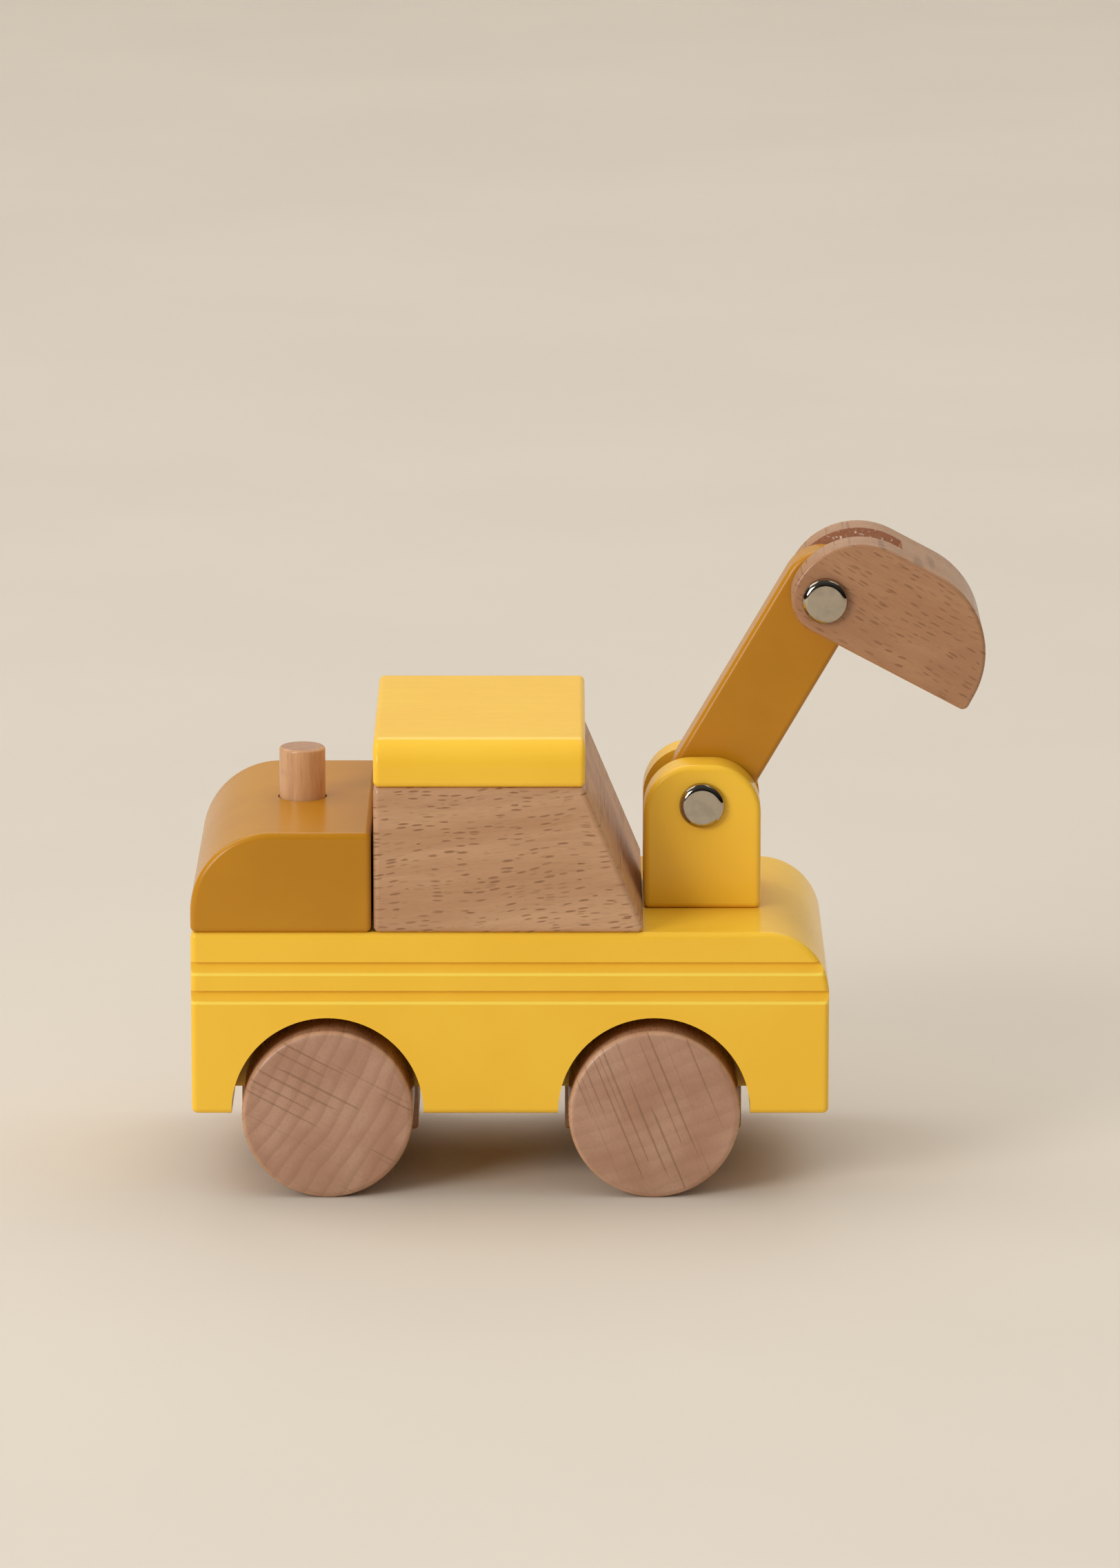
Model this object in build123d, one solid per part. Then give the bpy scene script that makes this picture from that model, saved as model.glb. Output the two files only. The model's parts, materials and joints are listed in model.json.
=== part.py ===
from build123d import *

import math
import os

# Stacking-block toy excavator. Millimetres, +Z up. The vehicle faces +X and its left side is +Y.
# Everything is built with x = 0 on the chassis's rear face, y = 0 on the middle plane and z = 0
# on the floor, then moved along X so that the origin lies under the middle of the whole toy.

# ---- chassis ----
CHASSIS_LENGTH = 130.0
BLOCK_WIDTH = 70.0
CHASSIS_HEIGHT = 38.0
CHASSIS_BOTTOM = 17.5
CHASSIS_TOP = CHASSIS_BOTTOM + CHASSIS_HEIGHT
NOSE_RADIUS = 13.0
EDGE_RADIUS = 1.2
HALF_WIDTH = BLOCK_WIDTH / 2

# ---- two grooves along each side of the chassis ----
GROOVE_TOPS = (6.1, 12.1)  # below the chassis's top
GROOVE_DEPTH = 1.1
GROOVE_HEIGHT = 2.6

# ---- wheels, axles and their blocks ----
REAR_AXLE_X = 27.7
WHEELBASE = 66.7
AXLE_X = {"rear": REAR_AXLE_X, "front": REAR_AXLE_X + WHEELBASE}
WHEEL_RADIUS = 17.5
WHEEL_WIDTH = 23.0
WHEEL_OUTER_FACE = HALF_WIDTH + 1.0
WHEEL_INNER_FACE = WHEEL_OUTER_FACE - WHEEL_WIDTH
WHEEL_BORE_DEPTH = 14.0
ARCH_RADIUS = 19.6
ARCH_CENTRE_Z = 18.1
CORE_HALF_WIDTH = 12.1
AXLE_RADIUS = 4.0
AXLE_CLEARANCE = 0.1
AXLE_HALF_LENGTH = WHEEL_INNER_FACE + WHEEL_BORE_DEPTH
AXLE_BLOCK_LENGTH = 36.4
AXLE_BLOCK_HEIGHT = 9.4

# ---- stacking pegs ----
PEG_RADIUS = 4.75
PEG_HOLE_RADIUS = 5.05
PEG_SEAT_DEPTH = 12.0
CHIMNEY_X = 22.0
CHIMNEY_TOP = 86.8
CAB_PEG_X = 58.8

# ---- stacked blocks ----
HOOD_LENGTH = 36.8
HOOD_HEIGHT = 20.7
HOOD_REAR_RADIUS = 16.5
CAB_REAR_X = 37.3
CAB_FRONT_BOTTOM_X = 92.7
CAB_FRONT_TOP_X = 80.0
CAB_HEIGHT = 30.2
CAB_TOP = CHASSIS_TOP + CAB_HEIGHT
ROOF_FRONT_X = 80.3
ROOF_HEIGHT = 9.5
ROOF_SIDE_RADIUS = 5.3
ROOF_BORE_DEPTH = 7.0
ROOF_PEG_GAP = 0.5

# ---- boom bracket ----
BRACKET_REAR_X = 92.4
BRACKET_LENGTH = 24.0
BRACKET_WIDTH = 27.0
BRACKET_HEIGHT = 30.0
BRACKET_TOP_RADIUS = 10.0
BRACKET_FLOOR = 5.0
BRACKET_DOWEL_RADIUS = 2.5
BRACKET_DOWEL_LENGTH = 20.0
SLOT_WIDTH = 9.6

# ---- boom ----
BOOM_PIVOT_X = 104.3
BOOM_PIVOT_Z = 77.3
BOOM_REACH = 49.5
BOOM_ANGLE = 59.7  # above the horizontal, as the toy stands
BOOM_WIDTH = 17.0
BOOM_THICKNESS = 9.0

# ---- bucket, measured from its pivot along and across its straight lower edge ----
BUCKET_TILT = 28.0  # the straight edge points this far below the horizontal
BUCKET_WIDTH = 27.0
BUCKET_HEEL = -7.0
BUCKET_TIP = 36.4
BUCKET_EDGE = -7.0
BUCKET_BACK = 15.45
BUCKET_SLOT_END = 10.0
BUCKET_EDGE_RADIUS = 0.8
# keyed by (on the back rather than the edge, at the tip rather than the heel)
BUCKET_CORNER_RADII = {
    (True, True): 18.5,
    (True, False): 15.0,
    (False, False): 7.4,
    (False, True): 1.4,
}

# ---- rivets on the two pivots ----
RIVET_RADIUS = 2.5
RIVET_CLEARANCE = 0.1
RIVET_HEAD_RADIUS = 4.7
RIVET_HEAD_HEIGHT = 1.9
RIVET_HEAD_ROUNDING = 1.35
RIVET_CAP_SOCKET = 1.0

BUCKET_PIVOT_X = BOOM_PIVOT_X + BOOM_REACH * math.cos(math.radians(BOOM_ANGLE))
BUCKET_PIVOT_Z = BOOM_PIVOT_Z + BOOM_REACH * math.sin(math.radians(BOOM_ANGLE))

ON_REAR_BOTTOM = (Align.MIN, Align.CENTER, Align.MIN)
ON_BOTTOM = (Align.CENTER, Align.CENTER, Align.MIN)


def across(radius, length):
    """A cylinder centred on the origin, lying along Y."""
    return Rot(90, 0, 0) * Cylinder(radius, length)


def upright(radius, bottom, top, x, y=0.0):
    """A cylinder standing along Z between two heights."""
    return Pos(x, y, bottom) * Cylinder(radius, top - bottom, align=ON_BOTTOM)


def edges_along(shape, axis):
    """The straight edges that run along an axis."""
    return shape.edges().filter_by(axis)


# ---- chassis and its fixed pieces ----


def side_groove(top, side):
    """The material cut for one groove: deepest under its sharp upper edge, and run out below."""
    face = side * HALF_WIDTH
    inner = face - side * GROOVE_DEPTH
    outer = face + side * GROOVE_DEPTH
    ceiling = CHASSIS_TOP - top
    lip = ceiling - GROOVE_HEIGHT
    outline = [
        Line((outer, ceiling), (inner, ceiling)),
        TangentArc((inner, ceiling), (face, lip), tangent=(0, -1)),
        Line((face, lip), (outer, lip)),
        Line((outer, lip), (outer, ceiling)),
    ]
    return extrude(Plane.YZ * make_face(outline), CHASSIS_LENGTH)


def make_chassis():
    body = Pos(0, 0, CHASSIS_BOTTOM) * Box(
        CHASSIS_LENGTH, BLOCK_WIDTH, CHASSIS_HEIGHT, align=ON_REAR_BOTTOM
    )
    nose = edges_along(body, Axis.Y).group_by(Axis.Z)[-1].sort_by(Axis.X)[-1]
    body = fillet(nose, NOSE_RADIUS)
    body = fillet(body.edges().filter_by(lambda e: e.length > EDGE_RADIUS), EDGE_RADIUS)
    for top in GROOVE_TOPS:
        for side in (-1, 1):
            body -= side_groove(top, side)
    pocket_depth = HALF_WIDTH - CORE_HALF_WIDTH
    for x in AXLE_X.values():
        for side in (-1, 1):
            middle = side * (CORE_HALF_WIDTH + pocket_depth / 2 + EDGE_RADIUS)
            pocket = across(ARCH_RADIUS, pocket_depth + 2 * EDGE_RADIUS)
            body -= Pos(x, middle, ARCH_CENTRE_Z) * pocket
        body -= Pos(x, 0, CHASSIS_BOTTOM) * across(AXLE_RADIUS + AXLE_CLEARANCE, BLOCK_WIDTH)
    for x in (CHIMNEY_X, CAB_PEG_X):
        body -= upright(PEG_RADIUS, CHASSIS_TOP - PEG_SEAT_DEPTH, CHASSIS_TOP, x)
    for dowel in bracket_dowel_solids():
        body -= dowel
    return body


def make_axle_block(x):
    """The block under the chassis's core. Its round channel closes the axle in from below."""
    block = Pos(x, 0, CHASSIS_BOTTOM - AXLE_BLOCK_HEIGHT) * Box(
        AXLE_BLOCK_LENGTH, 2 * CORE_HALF_WIDTH, AXLE_BLOCK_HEIGHT, align=ON_BOTTOM
    )
    block = fillet(block.edges().group_by(Axis.Z)[0], EDGE_RADIUS)
    channel = across(AXLE_RADIUS + AXLE_CLEARANCE, BLOCK_WIDTH)
    return block - Pos(x, 0, CHASSIS_BOTTOM) * channel


def make_peg(x, top):
    """A stacking peg glued in the chassis, with its upper rim eased."""
    peg = upright(PEG_RADIUS, CHASSIS_TOP - PEG_SEAT_DEPTH, top, x)
    return fillet(peg.edges().group_by(Axis.Z)[-1], 0.7)


def bracket_dowel_solids():
    """Two hidden dowels, one up each ear of the bracket."""
    x = BRACKET_REAR_X + BRACKET_LENGTH / 2
    ear_middle = (BRACKET_WIDTH + SLOT_WIDTH) / 4
    bottom = CHASSIS_TOP - BRACKET_DOWEL_LENGTH / 2
    top = bottom + BRACKET_DOWEL_LENGTH
    return [upright(BRACKET_DOWEL_RADIUS, bottom, top, x, side * ear_middle) for side in (-1, 1)]


def make_bracket():
    """The forked bracket: one block with a slot for the boom, its top corners well rounded."""
    x = BRACKET_REAR_X + BRACKET_LENGTH / 2
    block = Pos(x, 0, CHASSIS_TOP) * Box(
        BRACKET_LENGTH, BRACKET_WIDTH, BRACKET_HEIGHT, align=ON_BOTTOM
    )
    block = fillet(edges_along(block, Axis.Y).group_by(Axis.Z)[-1], BRACKET_TOP_RADIUS)
    block = fillet(block.edges(), EDGE_RADIUS)
    slot = Pos(x, 0, CHASSIS_TOP + BRACKET_FLOOR) * Box(
        2 * BRACKET_LENGTH, SLOT_WIDTH, BRACKET_HEIGHT, align=ON_BOTTOM
    )
    block -= slot
    block -= Pos(BOOM_PIVOT_X, 0, BOOM_PIVOT_Z) * across(RIVET_RADIUS, BLOCK_WIDTH)
    for dowel in bracket_dowel_solids():
        block -= dowel
    return block


# ---- wheels and axles ----


def make_wheel(x, side):
    """A solid wheel, closed outside, with a blind bore in its inner face for the axle."""
    disc = across(WHEEL_RADIUS, WHEEL_WIDTH)
    disc = fillet(disc.edges().filter_by(GeomType.CIRCLE), EDGE_RADIUS)
    wheel = Pos(x, side * (WHEEL_INNER_FACE + WHEEL_WIDTH / 2), WHEEL_RADIUS) * disc
    bore_middle = side * (WHEEL_INNER_FACE + WHEEL_BORE_DEPTH / 2)
    return wheel - Pos(x, bore_middle, WHEEL_RADIUS) * across(AXLE_RADIUS, WHEEL_BORE_DEPTH)


def make_axle(x):
    return Pos(x, 0, WHEEL_RADIUS) * across(AXLE_RADIUS, 2 * AXLE_HALF_LENGTH)


# ---- blocks that lift off their pegs ----


def make_hood():
    block = Pos(0, 0, CHASSIS_TOP) * Box(
        HOOD_LENGTH, BLOCK_WIDTH, HOOD_HEIGHT, align=ON_REAR_BOTTOM
    )
    rear_top = edges_along(block, Axis.Y).group_by(Axis.Z)[-1].sort_by(Axis.X)[0]
    block = fillet(rear_top, HOOD_REAR_RADIUS)
    block = fillet(block.edges(), EDGE_RADIUS)
    return block - upright(PEG_HOLE_RADIUS, CHASSIS_TOP, CHIMNEY_TOP, CHIMNEY_X)


def make_cab():
    """A block with an upright back and a front that slants like a windscreen."""
    profile = Polyline(
        (CAB_REAR_X, CHASSIS_TOP),
        (CAB_FRONT_BOTTOM_X, CHASSIS_TOP),
        (CAB_FRONT_TOP_X, CAB_TOP),
        (CAB_REAR_X, CAB_TOP),
        close=True,
    )
    block = extrude(Plane.XZ * make_face(profile), HALF_WIDTH, both=True)
    block = fillet(block.edges(), EDGE_RADIUS)
    return block - upright(PEG_HOLE_RADIUS, CHASSIS_TOP, CAB_TOP, CAB_PEG_X)


def make_roof():
    """A slab whose two long upper edges are well rounded. Its bore is blind, so the peg is hidden."""
    length = ROOF_FRONT_X - CAB_REAR_X
    slab = Pos(CAB_REAR_X, 0, CAB_TOP) * Box(
        length, BLOCK_WIDTH, ROOF_HEIGHT, align=ON_REAR_BOTTOM
    )
    slab = fillet(edges_along(slab, Axis.X).group_by(Axis.Z)[-1], ROOF_SIDE_RADIUS)
    slab = fillet(slab.edges(), EDGE_RADIUS)
    return slab - upright(PEG_HOLE_RADIUS, CAB_TOP, CAB_TOP + ROOF_BORE_DEPTH, CAB_PEG_X)


# ---- boom, bucket and their rivets ----


def make_boom():
    """A flat link with round ends, drawn along +X from its lower pivot and then raised."""
    outline = Pos(BOOM_REACH / 2, 0) * SlotCenterToCenter(BOOM_REACH, BOOM_WIDTH)
    link = extrude(Plane.XZ * outline, BOOM_THICKNESS / 2, both=True)
    link = fillet(link.edges(), EDGE_RADIUS)
    for x in (0, BOOM_REACH):
        link -= Pos(x, 0, 0) * across(RIVET_RADIUS + RIVET_CLEARANCE, BLOCK_WIDTH)
    return Pos(BOOM_PIVOT_X, 0, BOOM_PIVOT_Z) * Rot(0, -BOOM_ANGLE, 0) * link


def make_bucket():
    """One block on the boom's end, slotted for the boom from its heel to just past the pivot."""
    middle_x = (BUCKET_TIP + BUCKET_HEEL) / 2
    middle_z = (BUCKET_BACK + BUCKET_EDGE) / 2
    length = BUCKET_TIP - BUCKET_HEEL
    height = BUCKET_BACK - BUCKET_EDGE
    block = Pos(middle_x, 0, middle_z) * Box(length, BUCKET_WIDTH, height)
    for (high, forward), radius in BUCKET_CORNER_RADII.items():
        corners = edges_along(block, Axis.Y)
        corner = corners.filter_by(
            lambda e: (e.center().Z > middle_z) == high and (e.center().X > middle_x) == forward
        )
        block = fillet(corner, radius)
    block = fillet(block.edges(), BUCKET_EDGE_RADIUS)
    block -= Pos(BUCKET_SLOT_END, 0, 0) * Box(
        BLOCK_WIDTH, SLOT_WIDTH, BLOCK_WIDTH, align=(Align.MAX, Align.CENTER, Align.CENTER)
    )
    block -= across(RIVET_RADIUS, BLOCK_WIDTH)
    return Pos(BUCKET_PIVOT_X, 0, BUCKET_PIVOT_Z) * Rot(0, BUCKET_TILT, 0) * block


def rivet_head():
    """A flat-topped cap with a rounded rim, standing on z = 0."""
    head = Cylinder(RIVET_HEAD_RADIUS, RIVET_HEAD_HEIGHT, align=ON_BOTTOM)
    return fillet(head.edges().group_by(Axis.Z)[-1], RIVET_HEAD_ROUNDING)


def make_rivet(x, z):
    """The rivet: its head on the right-hand side, and a shank that ends inside the left cap."""
    half = BRACKET_WIDTH / 2
    shank_length = 2 * half + RIVET_CAP_SOCKET
    shank = Pos(x, -half + shank_length / 2, z) * across(RIVET_RADIUS, shank_length)
    return shank + Pos(x, -half, z) * Rot(90, 0, 0) * rivet_head()


def make_rivet_cap(x, z):
    """The cap pressed over the rivet's far end, on the left-hand side."""
    cap = Pos(x, BRACKET_WIDTH / 2, z) * Rot(-90, 0, 0) * rivet_head()
    socket = across(RIVET_RADIUS, RIVET_CAP_SOCKET)
    return cap - Pos(x, (BRACKET_WIDTH + RIVET_CAP_SOCKET) / 2, z) * socket


# ---- assembly ----


def make_parts():
    parts = {
        "chassis": make_chassis(),
        "chimney_peg": make_peg(CHIMNEY_X, CHIMNEY_TOP),
        "cab_peg": make_peg(CAB_PEG_X, CAB_TOP + ROOF_BORE_DEPTH - ROOF_PEG_GAP),
        "boom_bracket": make_bracket(),
        "bracket_dowels": Compound(children=bracket_dowel_solids()),
        "hood_block": make_hood(),
        "cab_block": make_cab(),
        "roof_block": make_roof(),
        "boom": make_boom(),
        "boom_rivet": make_rivet(BOOM_PIVOT_X, BOOM_PIVOT_Z),
        "boom_rivet_cap": make_rivet_cap(BOOM_PIVOT_X, BOOM_PIVOT_Z),
        "bucket": make_bucket(),
        "bucket_rivet": make_rivet(BUCKET_PIVOT_X, BUCKET_PIVOT_Z),
        "bucket_rivet_cap": make_rivet_cap(BUCKET_PIVOT_X, BUCKET_PIVOT_Z),
    }
    for end, x in AXLE_X.items():
        parts[f"{end}_axle"] = make_axle(x)
        parts[f"{end}_axle_block"] = make_axle_block(x)
        for name, side in (("right", -1), ("left", 1)):
            parts[f"{end}_{name}_wheel"] = make_wheel(x, side)
    return parts


def main():
    os.makedirs("parts", exist_ok=True)
    parts = make_parts()
    reach = [shape.bounding_box() for shape in parts.values()]
    middle_x = (min(box.min.X for box in reach) + max(box.max.X for box in reach)) / 2
    for name, shape in parts.items():
        export_step(Pos(-middle_x, 0, 0) * shape, f"parts/{name}.step")


main()
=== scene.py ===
import json
import math

import bpy
from mathutils import Matrix, Vector


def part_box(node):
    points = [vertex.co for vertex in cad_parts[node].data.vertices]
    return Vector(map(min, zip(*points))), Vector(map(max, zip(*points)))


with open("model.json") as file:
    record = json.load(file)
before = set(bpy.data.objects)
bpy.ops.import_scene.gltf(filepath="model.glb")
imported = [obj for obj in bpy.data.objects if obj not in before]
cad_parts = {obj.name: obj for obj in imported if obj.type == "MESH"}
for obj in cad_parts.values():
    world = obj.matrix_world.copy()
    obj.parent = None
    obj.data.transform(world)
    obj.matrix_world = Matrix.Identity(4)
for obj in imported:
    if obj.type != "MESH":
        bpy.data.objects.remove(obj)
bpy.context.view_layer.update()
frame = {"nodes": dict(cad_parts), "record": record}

# Metres, +Z up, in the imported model's own frame. The vehicle faces +X and its right side is -Y.
# Every material is worked out in the object's own space, in millimetres, so it stays on its piece.

MM_PER_M = 1000.0

# ---- colours, linear RGBA ----
YELLOW = (0.94, 0.56, 0.045, 1.0)
YELLOW_DEEP = (0.92, 0.53, 0.038, 1.0)
# pale yellow of the painted highlight along the grooves' lips
YELLOW_LIP_HIGHLIGHT = (1.0, 0.74, 0.10, 1.0)
OCHRE = (0.52, 0.222, 0.0090, 1.0)
OCHRE_DEEP = (0.48, 0.200, 0.0070, 1.0)
NICKEL = (0.46, 0.40, 0.32, 1.0)
NICKEL_DULL = (0.40, 0.35, 0.28, 1.0)
BEECH_LIGHT = (0.56, 0.315, 0.175, 1.0)
BEECH_DARK = (0.46, 0.235, 0.120, 1.0)
BEECH_FLECK = (0.22, 0.095, 0.040, 1.0)
BEECH_RING = (0.36, 0.175, 0.090, 1.0)
BEECH_SAWN = (0.40, 0.17, 0.085, 1.0)
BEECH_TORN = (0.86, 0.72, 0.58, 1.0)
FLOOR = (0.665, 0.59, 0.49, 1.0)


# ---- a short way to write shader nodes ----


class Shader:
    """One material and the nodes that feed its principled shader."""

    def __init__(self, name):
        self.material = bpy.data.materials.new(name)
        self.material.use_nodes = True
        self.nodes = self.material.node_tree.nodes
        self.links = self.material.node_tree.links
        self.surface = self.nodes["Principled BSDF"]

    def put(self, socket, value):
        if isinstance(value, bpy.types.NodeSocket):
            self.links.new(value, socket)
        else:
            socket.default_value = value

    def add(self, kind, inputs, **settings):
        node = self.nodes.new("ShaderNode" + kind)
        for key, value in settings.items():
            setattr(node, key, value)
        for key, value in inputs.items():
            self.put(node.inputs[key], value)
        return node

    def finish(self, **inputs):
        for key, value in inputs.items():
            self.put(self.surface.inputs[key.replace("_", " ")], value)
        return self.material

    # numbers

    def math(self, operation, a, b=0.0):
        return self.add("Math", {0: a, 1: b}, operation=operation).outputs[0]

    def plus(self, a, b):
        return self.math("ADD", a, b)

    def minus(self, a, b):
        return self.math("SUBTRACT", a, b)

    def times(self, a, b):
        return self.math("MULTIPLY", a, b)

    def size(self, a):
        return self.math("ABSOLUTE", a)

    def step(self, value, start, end, low=0.0, high=1.0):
        """A smooth change from low to high while value goes from start to end."""
        limits = {"Value": value, "From Min": start, "From Max": end, "To Min": low, "To Max": high}
        return self.add("MapRange", limits, interpolation_type="SMOOTHSTEP").outputs[0]

    # vectors

    def vector(self, operation, a, b=(0.0, 0.0, 0.0), output="Vector"):
        return self.add("VectorMath", {0: a, 1: b}, operation=operation).outputs[output]

    def stretched(self, a, factors):
        return self.vector("MULTIPLY", a, factors)

    def length(self, a):
        return self.vector("LENGTH", a, output="Value")

    def split(self, vector):
        return self.add("SeparateXYZ", {0: vector}).outputs

    def join(self, x, y, z):
        return self.add("CombineXYZ", {0: x, 1: y, 2: z}).outputs[0]

    # places, patterns and colours

    def place(self):
        """The point on the piece in millimetres."""
        point = self.add("TexCoord", {}).outputs["Object"]
        return self.add("Mapping", {"Vector": point, "Scale": (MM_PER_M,) * 3}).outputs[0]

    def facing(self):
        """The way that the surface faces."""
        return self.add("TexCoord", {}).outputs["Normal"]

    def noise(self, place, scale, detail=2.0, output="Fac"):
        return self.add("TexNoise", {"Vector": place, "Scale": scale, "Detail": detail}).outputs[output]

    def blend(self, amount, a, b, blend_type="MIX"):
        inputs = {0: amount, 6: a, 7: b}
        return self.add("Mix", inputs, data_type="RGBA", blend_type=blend_type).outputs[2]

    def tinted(self, colour, tint):
        return self.blend(1.0, colour, tint, "MULTIPLY")

    def bump(self, height, distance, strength):
        inputs = {"Height": height, "Distance": distance, "Strength": strength}
        return self.add("Bump", inputs).outputs[0]


# ---- lacquer over wood ----

GROOVE_LIPS = (8.7, 14.7)  # millimetres below the chassis's top
LIP_HIGHLIGHT_FADE = (0.42, 0.12)  # millimetres from the lip where the painted highlight starts and where it is full


def painted_lip_highlight(shader, place, lip):
    """A narrow band of painted highlight at the height of a groove's lip, on the surfaces that face
    sideways.
    """
    from_lip = shader.size(shader.minus(shader.split(place)[2], lip))
    sideways = shader.step(shader.size(shader.split(shader.facing())[1]), 0.3, 0.6)
    return shader.times(shader.step(from_lip, *LIP_HIGHLIGHT_FADE), sideways)


def lacquer(name, colour, deep_colour, lips=()):
    """A satin coat: slightly uneven in thickness, with orange peel, a hint of the grain and rare specks.
    Along the grooves' lips, whose heights are given in millimetres, it carries a painted highlight: a
    narrow pale band."""
    shader = Shader(name)
    place = shader.place()
    pooling = shader.step(shader.noise(place, 0.035, 3.0), 0.35, 0.65)
    grain = shader.noise(shader.stretched(place, (0.08, 1.4, 1.4)), 1.0, 3.0)
    peel = shader.noise(place, 0.45, 1.0)
    to_speck = shader.add("TexVoronoi", {"Vector": place, "Scale": 0.1}).outputs["Distance"]
    speck = shader.step(to_speck, 0.014, 0.008)
    height = shader.plus(shader.times(grain, 0.35), peel)
    height = shader.plus(height, shader.times(speck, 2.0))

    coat = shader.blend(pooling, colour, deep_colour)
    for lip in lips:
        # a painted highlight: a narrow pale band along each groove's lip
        coat = shader.blend(painted_lip_highlight(shader, place, lip), coat, YELLOW_LIP_HIGHLIGHT)
    return shader.finish(
        Base_Color=coat,
        Roughness=shader.step(grain, 0.2, 0.8, 0.20, 0.27),
        IOR=1.36,
        Normal=shader.bump(height, 0.00004, 0.5),
    )


# ---- bare beech ----

RINGS_PER_MM = 0.32
RAY_GAP_ALONG = 2.9  # millimetres between rays along the fibres
RAY_GAP_AROUND = 1.0  # and round the log
RAY_SLIMNESS = (2.0, 1.0, 4.0)  # along the fibres, outward and round the log
RAY_DRIFT = 7.0


def log_place(shader, cut, pith):
    """The place in the log: along the fibres, out from the pith, and round it."""
    sway = shader.noise(shader.stretched(cut, (0.02, 0.05, 0.05)), 1.0, 2.0, "Color")
    sway = shader.stretched(shader.vector("SUBTRACT", sway, (0.5,) * 3), (0.0, 4.0, 4.0))
    length, out, side = shader.split(shader.vector("ADD", cut, sway))
    out = shader.plus(out, pith)
    radius = shader.length(shader.join(0.0, out, side))
    around = shader.times(shader.math("ARCTAN2", side, out), pith)
    return shader.join(length, radius, around)


def ray_flecks(shader, cut, ray_length, rays):
    """Rays: long along the radius, short along the fibres, very thin round the log, some of them faint."""
    drift = shader.noise(shader.stretched(cut, (0.04, 0.0, 0.05)), 1.0, 1.0)
    length, out, side = shader.split(cut)
    straight = shader.join(length, out, shader.plus(side, shader.times(drift, RAY_DRIFT)))
    cells = shader.stretched(straight, (1 / RAY_GAP_ALONG, 1 / ray_length, 1 / RAY_GAP_AROUND))
    nearest = shader.add("TexVoronoi", {"Vector": cells, "Scale": 1.0, "Randomness": 1.0}).outputs
    away = shader.vector("SUBTRACT", cells, nearest["Position"])
    lens = shader.step(shader.length(shader.stretched(away, RAY_SLIMNESS)), 1.0, 0.55)
    chance = shader.split(nearest["Color"])[0]
    return shader.times(lens, shader.step(chance, 0.3, 0.95, 0.08 * rays, rays))


def saw_cut(shader, place, half_width):
    """How far the surface is a slot's wall, and how torn its fibres are."""
    off_middle = shader.size(shader.split(place)[1])
    in_slot = shader.step(off_middle, half_width + 0.06, half_width + 0.02)
    crosswise = shader.step(shader.size(shader.split(shader.facing())[1]), 0.4, 0.6)
    tears = shader.noise(shader.stretched(place, (1.1, 0.8, 1.1)), 1.0, 6.0)
    return shader.times(in_slot, crosswise), tears


def beech(
    name,
    centre,
    along,
    outward,
    tint,
    end_tint=None,
    pith=70.0,
    ray_length=12.0,
    rays=0.8,
    rings=0.3,
    threads=0.35,
    start=(0.0, 0.0),
    sawn_within=None,
):
    """Beech cut from a log: along its fibres, outward from its pith, and rays as thin dark lenses.
    The rays look like short dashes on a face that looks outward, and like long lines on end grain.
    A slot's walls, no further than sawn_within from the middle plane, are a saw cut with torn fibres."""
    shader = Shader(name)
    fibre = Vector(along).normalized()
    radial = Vector(outward).normalized()
    axes = Matrix((fibre, radial, fibre.cross(radial)))
    place = shader.place()
    turned = {"Vector": place, "Rotation": axes.to_euler(), "Location": -(axes @ centre)}
    cut = shader.vector("ADD", shader.add("Mapping", turned).outputs[0], (0.0, *start))
    wood = log_place(shader, cut, pith)

    shade = shader.noise(shader.stretched(wood, (0.02, 0.10, 0.10)), 1.0, 3.0)
    thread = shader.noise(shader.stretched(wood, (0.10, 1.8, 1.8)), 1.0, 5.0)
    ring = shader.math("FRACT", shader.times(shader.split(wood)[1], RINGS_PER_MM))
    late_wood = shader.times(shader.step(ring, 0.35, 0.92), shader.step(ring, 1.0, 0.94))
    fleck = ray_flecks(shader, cut, ray_length, rays)

    colour = shader.blend(shader.step(shade, 0.3, 0.7), BEECH_LIGHT, BEECH_DARK)
    colour = shader.blend(shader.times(late_wood, rings), colour, BEECH_RING)
    colour = shader.blend(shader.step(thread, 0.42, 0.85, 0.0, threads), colour, BEECH_RING)
    colour = shader.blend(fleck, colour, BEECH_FLECK)
    relief = shader.minus(thread, shader.times(fleck, 0.6))

    # end grain drinks in more light than the sides do, and is duller
    endwise = shader.vector("DOT_PRODUCT", shader.facing(), fibre, "Value")
    endwise = shader.step(shader.size(endwise), 0.80, 0.97)
    colour = shader.tinted(colour, shader.blend(endwise, (*tint, 1.0), (*(end_tint or tint), 1.0)))
    roughness = shader.plus(shader.step(thread, 0.2, 0.8, 0.23, 0.36), shader.times(endwise, 0.15))

    if sawn_within:
        sawn, tears = saw_cut(shader, place, sawn_within)
        torn = shader.blend(shader.step(tears, 0.56, 0.68), BEECH_SAWN, BEECH_TORN)
        colour = shader.blend(sawn, colour, torn)
        relief = shader.plus(relief, shader.times(shader.times(tears, 6.0), sawn))
        roughness = shader.plus(roughness, shader.times(sawn, 0.3))
    return shader.finish(
        Base_Color=colour,
        Roughness=roughness,
        Normal=shader.bump(relief, 0.00006, 0.6),
    )


# ---- nickel plate ----


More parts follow.
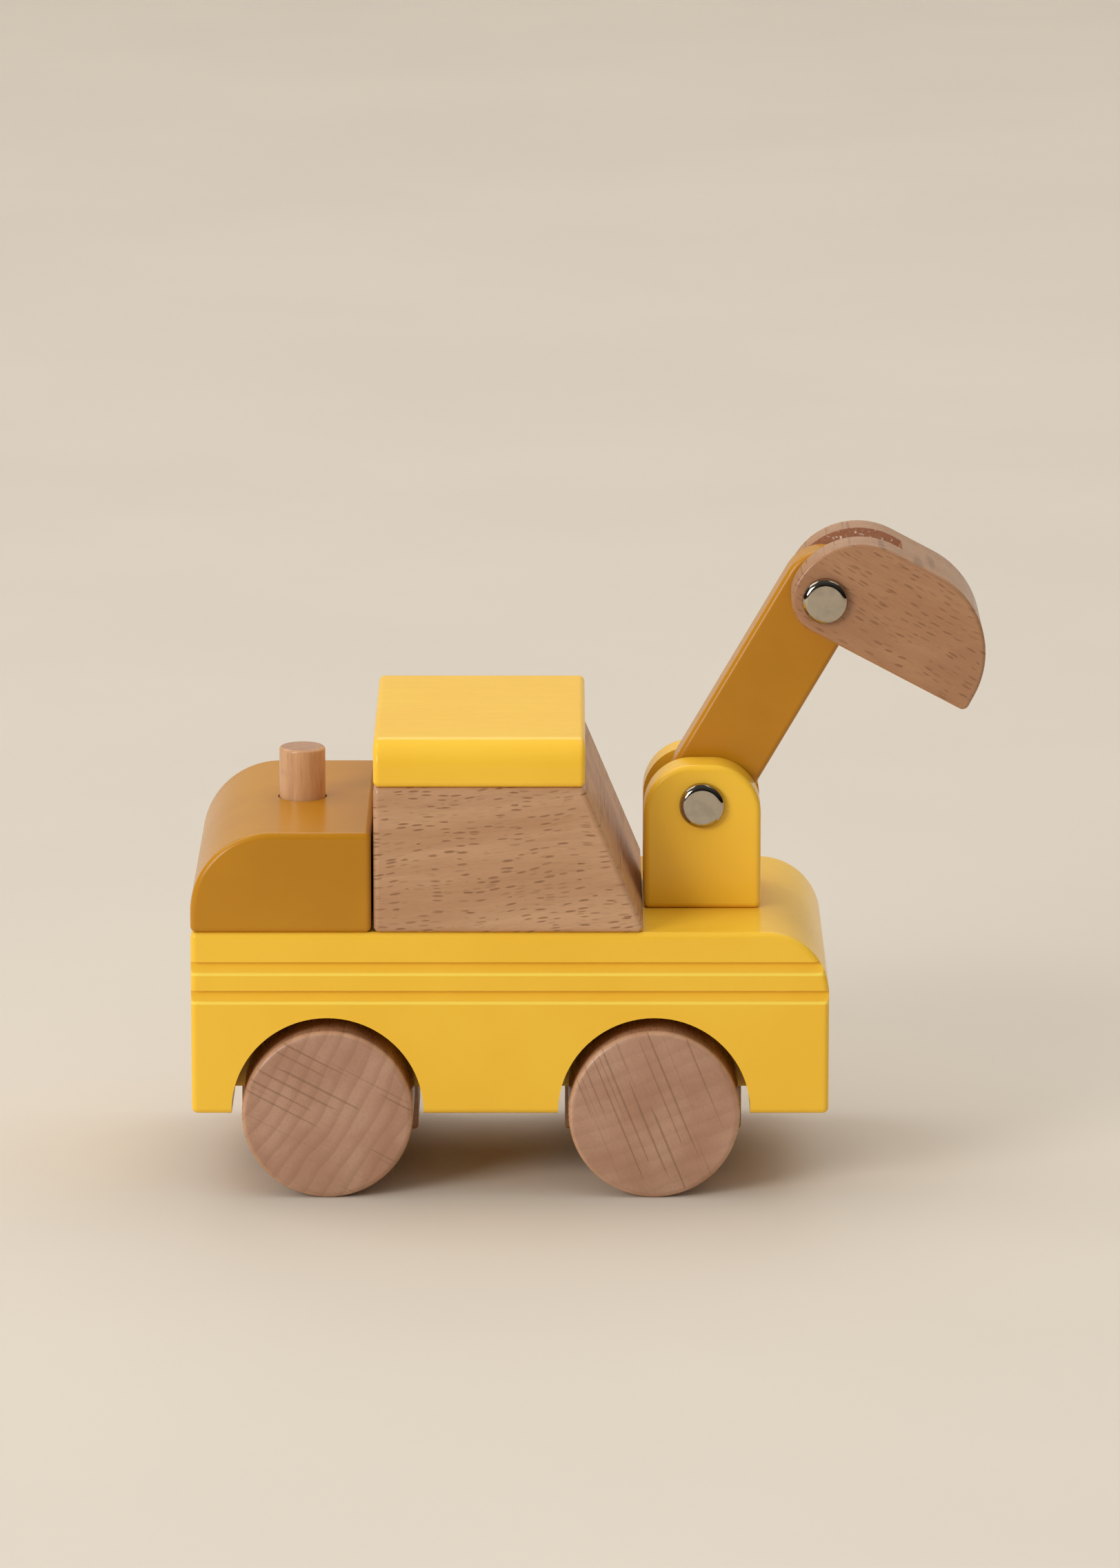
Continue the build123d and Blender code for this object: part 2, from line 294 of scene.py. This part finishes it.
def nickel_plate():
    """Polished plate with faint clouding and fine marks."""
    shader = Shader("nickel")
    place = shader.place()
    clouds = shader.noise(place, 0.5, 4.0)
    marks = shader.noise(place, 3.0, 2.0)
    return shader.finish(
        Base_Color=shader.blend(shader.step(clouds, 0.4, 0.7), NICKEL, NICKEL_DULL),
        Metallic=1.0,
        Roughness=shader.step(clouds, 0.3, 0.7, 0.07, 0.14),
        Normal=shader.bump(marks, 0.00001, 0.3),
    )


# ---- which piece is made of what ----

LONGWAYS = (1, 0, 0)
CROSSWAYS = (0, 1, 0)
UPRIGHT = (0, 0, 1)


def downhill(degrees):
    """A direction in the side view, pointing forward and this far below the horizontal."""
    slope = math.radians(degrees)
    return (math.cos(slope), 0.0, -math.sin(slope))


# tints that multiply the beech's colour
HONEY = (1.03, 1.05, 1.01)
TAWNY = (0.86, 0.80, 0.72)
PALE = (1.30, 1.38, 1.30)
PALE_END = (0.88, 0.86, 0.87)
WHEEL_SIDE = (1.10, 1.14, 1.20)
WHEEL_END = (0.88, 0.90, 1.05)

SLOT_HALF_WIDTH = 4.8  # the bucket's slot for the boom

WHEEL = dict(along=CROSSWAYS, tint=WHEEL_SIDE, end_tint=WHEEL_END, ray_length=26.0, rays=0.48)
PEG = dict(along=UPRIGHT, tint=PALE, end_tint=PALE_END, rays=0.15, rings=0.3, threads=0.9)

BEECH_CUTS = {
    "cab_block": dict(along=downhill(-6), outward=CROSSWAYS, tint=HONEY, rings=0.1),
    "bucket": dict(
        along=downhill(28),
        outward=CROSSWAYS,
        tint=TAWNY,
        rays=0.65,
        start=(9.0, 4.0),
        sawn_within=SLOT_HALF_WIDTH,
    ),
    "rear_right_wheel": dict(outward=downhill(28), start=(12.0, 4.0), rings=0.45, **WHEEL),
    "front_right_wheel": dict(outward=downhill(68), pith=160.0, rings=0.2, **WHEEL),
    "rear_left_wheel": dict(outward=downhill(-15), **WHEEL),
    "front_left_wheel": dict(outward=downhill(115), start=(7.0, 5.0), **WHEEL),
    "rear_axle_block": dict(along=LONGWAYS, outward=UPRIGHT, tint=HONEY),
    "front_axle_block": dict(along=LONGWAYS, outward=UPRIGHT, tint=HONEY, start=(3.0, 7.0)),
    "rear_axle": dict(along=CROSSWAYS, outward=UPRIGHT, tint=PALE),
    "front_axle": dict(along=CROSSWAYS, outward=UPRIGHT, tint=PALE, start=(5.0, 1.0)),
    "chimney_peg": dict(outward=(0.5, -0.9, 0), start=(2.0, 3.0), **PEG),
    "cab_peg": dict(outward=(0.9, 0.3, 0), **PEG),
    "bracket_dowels": dict(outward=CROSSWAYS, **PEG),
}


def paint():
    """Gives every CAD node a material of its own, or else the one that its slot shares."""
    chassis_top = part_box("chassis")[1].z * MM_PER_M
    lips = [chassis_top - drop for drop in GROOVE_LIPS]
    # the chassis's coat carries a painted highlight along its grooves' lips
    own = {"chassis": lacquer("yellow_lacquer_chassis_lip_highlight", YELLOW, YELLOW_DEEP, lips)}
    for node, cut in BEECH_CUTS.items():
        low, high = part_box(node)
        own[node] = beech(f"beech_{node}", (low + high) / 2 * MM_PER_M, **cut)
    shared = {
        "yellow_lacquer": lacquer("yellow_lacquer", YELLOW, YELLOW_DEEP),
        "ochre_lacquer": lacquer("ochre_lacquer", OCHRE, OCHRE_DEEP),
        "nickel": nickel_plate(),
    }
    slots = {row["node"]: row["material_slot"] for row in frame["record"]["subparts"]}
    for node, piece in frame["nodes"].items():
        material = own[node] if node in own else shared[slots[node]]
        for slot in piece.material_slots:
            slot.material = material


# ---- floor that sweeps up behind the toy ----

SWEEP_HALF_WIDTH = 3.0
SWEEP_FRONT = -3.2
SWEEP_BACK = 2.0
SWEEP_RADIUS = 0.8
SWEEP_HEIGHT = 2.6
SWEEP_STEPS = 24


def floor_material():
    """Matt pale paper, a little uneven in tone."""
    shader = Shader("floor_paper")
    place = shader.place()
    tone = shader.step(shader.noise(place, 0.006, 4.0), 0.3, 0.7, 0.97, 1.0)
    return shader.finish(
        Base_Color=shader.tinted(FLOOR, shader.join(tone, tone, tone)),
        Roughness=0.85,
        Normal=shader.bump(shader.noise(place, 1.2, 3.0), 0.00003, 0.4),
    )


def make_floor():
    profile = [(SWEEP_FRONT, 0.0)]
    for i in range(SWEEP_STEPS + 1):
        angle = math.pi / 2 * i / SWEEP_STEPS
        y = SWEEP_BACK + SWEEP_RADIUS * math.sin(angle)
        profile.append((y, SWEEP_RADIUS * (1 - math.cos(angle))))
    profile.append((SWEEP_BACK + SWEEP_RADIUS, SWEEP_HEIGHT))
    vertices = [(x, y, z) for y, z in profile for x in (-SWEEP_HALF_WIDTH, SWEEP_HALF_WIDTH)]
    faces = [(2 * i, 2 * i + 1, 2 * i + 3, 2 * i + 2) for i in range(len(profile) - 1)]
    mesh = bpy.data.meshes.new("floor")
    mesh.from_pydata(vertices, [], faces)
    mesh.shade_smooth()
    mesh.materials.append(floor_material())
    floor = bpy.data.objects.new("floor", mesh)
    bpy.context.scene.collection.objects.link(floor)


# ---- studio light ----

LIT_POINT = Vector((0.0, 0.0, 0.06))
WHITE = (1.0, 1.0, 1.0)
GLOW_FROM_ABOVE = 0.96
GLOW_FROM_BEHIND = 0.66
GLOW_IN_REFLECTIONS = 0.1

# name: (direction from the toy, distance, width, height, power in watts)
SOFTBOXES = {
    "key": ((-0.61, -0.64, 0.34), 2.2, 0.9, 0.9, 23.6),
    "overhead_left": ((-0.57, 0.22, 0.79), 2.6, 1.5, 1.3, 10.9),
    "overhead_right": ((0.45, 0.21, 0.87), 2.6, 1.5, 1.3, 7.0),
    "back": ((0.0, 0.80, 0.60), 3.0, 2.0, 1.0, 11.5),
}


def soft_light(name, direction, distance, width, height, watts):
    away = Vector(direction).normalized()
    data = bpy.data.lights.new(name, "AREA")
    data.shape = "RECTANGLE"
    data.size = width
    data.size_y = height
    data.energy = watts
    data.color = WHITE
    lamp = bpy.data.objects.new(name, data)
    lamp.location = LIT_POINT + away * distance
    lamp.rotation_mode = "QUATERNION"
    lamp.rotation_quaternion = away.to_track_quat("Z", "Y")
    bpy.context.scene.collection.objects.link(lamp)


def make_world():
    """A glow from above and from behind, and a dim room where gloss would mirror it."""
    world = bpy.data.worlds.new("studio")
    world.use_nodes = True
    nodes = world.node_tree.nodes
    links = world.node_tree.links

    def math_node(operation, a, b):
        node = nodes.new("ShaderNodeMath")
        node.operation = operation
        for socket, value in zip(node.inputs, (a, b)):
            if isinstance(value, bpy.types.NodeSocket):
                links.new(value, socket)
            else:
                socket.default_value = value
        return node.outputs[0]

    split = nodes.new("ShaderNodeSeparateXYZ")
    links.new(nodes.new("ShaderNodeTexCoord").outputs["Generated"], split.inputs[0])
    above = math_node("MULTIPLY", math_node("MAXIMUM", split.outputs["Z"], 0.0), GLOW_FROM_ABOVE)
    behind = math_node("MULTIPLY", math_node("MAXIMUM", split.outputs["Y"], 0.0), GLOW_FROM_BEHIND)
    glossy = nodes.new("ShaderNodeLightPath").outputs["Is Glossy Ray"]
    dimming = math_node("MULTIPLY", glossy, 1.0 - GLOW_IN_REFLECTIONS)
    kept = math_node("SUBTRACT", 1.0, dimming)
    strength = math_node("MULTIPLY", math_node("ADD", above, behind), kept)
    background = nodes["Background"]
    background.inputs["Color"].default_value = (*WHITE, 1.0)
    links.new(strength, background.inputs["Strength"])
    bpy.context.scene.world = world


def make_light():
    make_world()
    for name, settings in SOFTBOXES.items():
        soft_light(name, *settings)


# ---- camera ----

CAMERA_AIM = Vector((-0.0059, 0.0, 0.0787))
CAMERA_DISTANCE = 1.817
CAMERA_DOWN = math.radians(12.65)
LENS_MM = 202.06


def make_camera():
    data = bpy.data.cameras.new("camera")
    data.lens = LENS_MM
    data.clip_start = 0.1
    data.clip_end = 20.0
    camera = bpy.data.objects.new("camera", data)
    back = Vector((0.0, -math.cos(CAMERA_DOWN), math.sin(CAMERA_DOWN)))
    camera.location = CAMERA_AIM + back * CAMERA_DISTANCE
    camera.rotation_euler = (math.pi / 2 - CAMERA_DOWN, 0.0, 0.0)
    bpy.context.scene.collection.objects.link(camera)
    bpy.context.scene.camera = camera


paint()
make_floor()
make_light()
make_camera()
bpy.context.scene.view_settings.view_transform = "Standard"
